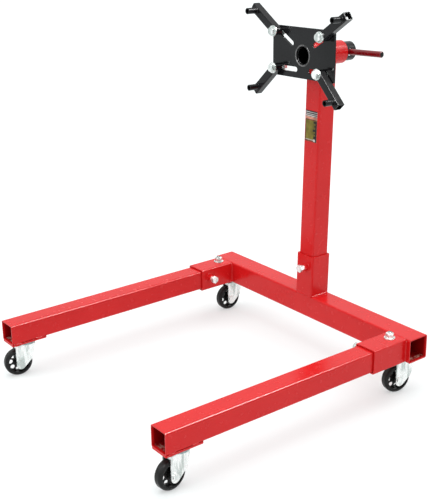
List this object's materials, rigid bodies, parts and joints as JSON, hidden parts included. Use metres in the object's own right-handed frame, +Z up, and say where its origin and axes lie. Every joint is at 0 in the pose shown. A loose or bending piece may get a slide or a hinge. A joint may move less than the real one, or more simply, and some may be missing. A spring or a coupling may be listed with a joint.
{
  "type": "engine stand",
  "caption": "Wheeled stand that holds an engine by its back on a turning head with a slotted plate and adjustable arms, on a leaning post over a U-shaped tube frame.",
  "frame": {"origin": "on the floor, midway along the overall length and width", "axes": "+X to the right, -Y to the front where the legs point, +Z up"},
  "size_m": [0.784, 0.8857, 0.9406],
  "materials": {
    "red_paint": "gloss powder coat",
    "black_paint": "satin powder coat",
    "handle_paint": "gloss paint",
    "zinc": "bright zinc plate",
    "bearing_steel": "polished steel",
    "hub_plastic": "moulded, satin",
    "tyre": "moulded rubber"
  },
  "bodies": {
    "frame": {"rear_crossbar": "red_paint", "leg_sleeve_left": "red_paint", "leg_sleeve_right": "red_paint", "leg_left": "red_paint", "leg_right": "red_paint", "caster_pad_left": "red_paint", "caster_pad_right": "red_paint", "post_sleeve": "red_paint", "post": "red_paint", "head_collar": "red_paint", "leg_bolts": "zinc", "frame_washers": "zinc", "frame_nuts": "zinc", "clamp_bolts": "zinc", "clamp_nuts": "red_paint", "kingpins": "zinc", "caster_upper_races": "zinc", "caster_balls": "bearing_steel"},
    "caster_front_left": {"caster_fork_front_left": "zinc", "axle_bolt_front_left": "zinc", "axle_nut_front_left": "zinc", "axle_bush_front_left": "bearing_steel"},
    "wheel_front_left": {"wheel_hub_front_left": "hub_plastic", "wheel_tyre_front_left": "tyre"},
    "caster_front_right": {"caster_fork_front_right": "zinc", "axle_bolt_front_right": "zinc", "axle_nut_front_right": "zinc", "axle_bush_front_right": "bearing_steel"},
    "wheel_front_right": {"wheel_hub_front_right": "hub_plastic", "wheel_tyre_front_right": "tyre"},
    "caster_rear_left": {"caster_fork_rear_left": "zinc", "axle_bolt_rear_left": "zinc", "axle_nut_rear_left": "zinc", "axle_bush_rear_left": "bearing_steel"},
    "wheel_rear_left": {"wheel_hub_rear_left": "hub_plastic", "wheel_tyre_rear_left": "tyre"},
    "caster_rear_right": {"caster_fork_rear_right": "zinc", "axle_bolt_rear_right": "zinc", "axle_nut_rear_right": "zinc", "axle_bush_rear_right": "bearing_steel"},
    "wheel_rear_right": {"wheel_hub_rear_right": "hub_plastic", "wheel_tyre_rear_right": "tyre"},
    "head": {"mounting_plate": "black_paint", "head_shaft": "black_paint"},
    "handle": {"handle_bar": "handle_paint"},
    "arm_bolt_upper_left": {"arm_bolt_upper_left": "zinc"},
    "arm_upper_left": {"arm_upper_left": "black_paint", "finger_upper_left": "black_paint"},
    "arm_bolt_upper_right": {"arm_bolt_upper_right": "zinc"},
    "arm_upper_right": {"arm_upper_right": "black_paint", "finger_upper_right": "black_paint"},
    "arm_bolt_lower_left": {"arm_bolt_lower_left": "zinc"},
    "arm_lower_left": {"arm_lower_left": "black_paint", "finger_lower_left": "black_paint"},
    "arm_bolt_lower_right": {"arm_bolt_lower_right": "zinc"},
    "arm_lower_right": {"arm_lower_right": "black_paint", "finger_lower_right": "black_paint"}
  },
  "joints": [
    {"name": "front_left_caster_swivel", "type": "hinge", "parent": "frame", "child": "caster_front_left", "pos_m": [-0.348, -0.3812, 0.09], "axis": [0, 0, 1], "continuous": true},
    {"name": "front_left_wheel_spin", "type": "hinge", "parent": "caster_front_left", "child": "wheel_front_left", "pos_m": [-0.35217, -0.40484, 0.0375], "axis": [0.9848, -0.1736, 0], "continuous": true},
    {"name": "front_right_caster_swivel", "type": "hinge", "parent": "frame", "child": "caster_front_right", "pos_m": [0.348, -0.3812, 0.09], "axis": [0, 0, 1], "continuous": true},
    {"name": "front_right_wheel_spin", "type": "hinge", "parent": "caster_front_right", "child": "wheel_front_right", "pos_m": [0.34967, -0.40514, 0.0375], "axis": [0.9976, 0.0698, 0], "continuous": true},
    {"name": "rear_left_caster_swivel", "type": "hinge", "parent": "frame", "child": "caster_rear_left", "pos_m": [-0.348, 0.32655, 0.09], "axis": [0, 0, 1], "continuous": true},
    {"name": "rear_left_wheel_spin", "type": "hinge", "parent": "caster_rear_left", "child": "wheel_rear_left", "pos_m": [-0.34884, 0.30256, 0.0375], "axis": [0.9994, -0.0349, 0], "continuous": true},
    {"name": "rear_right_caster_swivel", "type": "hinge", "parent": "frame", "child": "caster_rear_right", "pos_m": [0.348, 0.32655, 0.09], "axis": [0, 0, 1], "continuous": true},
    {"name": "rear_right_wheel_spin", "type": "hinge", "parent": "caster_rear_right", "child": "wheel_rear_right", "pos_m": [0.34301, 0.30307, 0.0375], "axis": [0.9781, -0.2079, 0], "continuous": true},
    {"name": "head_turn", "type": "hinge", "parent": "frame", "child": "head", "pos_m": [0, 0.27712, 0.81575], "axis": [0, 0.9996, -0.0279], "continuous": true},
    {"name": "handle_slide", "type": "slide", "parent": "head", "child": "handle", "axis": [0.9984, 0.0016, 0.0558], "range_m": [-0.11, 0.11]},
    {"name": "upper_left_bolt_slide", "type": "slide", "parent": "head", "child": "arm_bolt_upper_left", "axis": [0.8753, -0.0135, -0.4834], "range_m": [-0.00116, 0.05578]},
    {"name": "upper_left_arm_swing", "type": "hinge", "parent": "arm_bolt_upper_left", "child": "arm_upper_left", "pos_m": [-0.09063, 0.27862, 0.86947], "axis": [0, 0.9996, -0.0279], "range_deg": [-45, 55]},
    {"name": "upper_right_bolt_slide", "type": "slide", "parent": "head", "child": "arm_bolt_upper_right", "axis": [-0.8451, -0.0149, -0.5344], "range_m": [-0.00581, 0.05113]},
    {"name": "upper_right_arm_swing", "type": "hinge", "parent": "arm_bolt_upper_right", "child": "arm_upper_right", "pos_m": [0.08336, 0.2787, 0.87227], "axis": [0, 0.9996, -0.0279], "range_deg": [-55, 45]},
    {"name": "lower_left_bolt_slide", "type": "slide", "parent": "head", "child": "arm_bolt_lower_left", "axis": [0.9996, 0.0008, 0.0297], "range_m": [-0.001, 0.063]},
    {"name": "lower_left_arm_swing", "type": "hinge", "parent": "arm_bolt_lower_left", "child": "arm_lower_left", "pos_m": [-0.08786, 0.27601, 0.77614], "axis": [0, 0.9996, -0.0279], "range_deg": [-40, 45]},
    {"name": "lower_right_bolt_slide", "type": "slide", "parent": "head", "child": "arm_bolt_lower_right", "axis": [-0.9996, -0.0008, -0.0297], "range_m": [-0.012, 0.052]},
    {"name": "lower_right_arm_swing", "type": "hinge", "parent": "arm_bolt_lower_right", "child": "arm_lower_right", "pos_m": [0.07906, 0.27615, 0.78109], "axis": [0, 0.9996, -0.0279], "range_deg": [-45, 40]}
  ]
}
